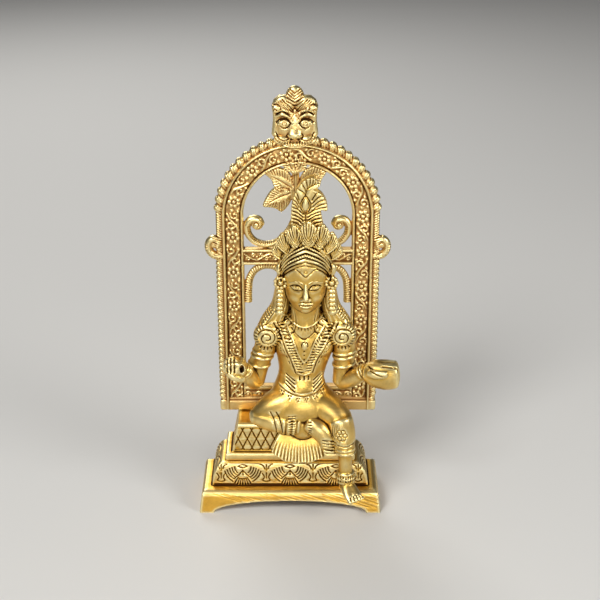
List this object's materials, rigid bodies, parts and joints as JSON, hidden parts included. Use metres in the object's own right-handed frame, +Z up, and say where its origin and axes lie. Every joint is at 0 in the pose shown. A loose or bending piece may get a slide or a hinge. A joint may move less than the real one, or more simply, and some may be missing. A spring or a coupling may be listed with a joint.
{
  "type": "seated lakshmi figure with plinth and arch",
  "caption": "Cast brass figure of the seated goddess on a moulded plinth, in front of an open arch with scrolls, leaves and a lion-like mask on top.",
  "frame": {"origin": "middle of the underside of the box that the whole work fits in, on the surface it stands on", "axes": "+Z up, -Y to the front that the figure faces, +X to the viewer's right"},
  "size_m": [0.0956, 0.0464, 0.2053],
  "materials": {
    "plinth_brass": "cast, filed and brushed, dark in the cuts",
    "figure_brass": "cast and polished, dark in the cut lines",
    "arch_brass": "cast, satin, brown in the hollows of the relief"
  },
  "bodies": {
    "root": {"plinth": "plinth_brass", "lakshmi_figure": "figure_brass", "arch_frame": "arch_brass"}
  },
  "joints": []
}
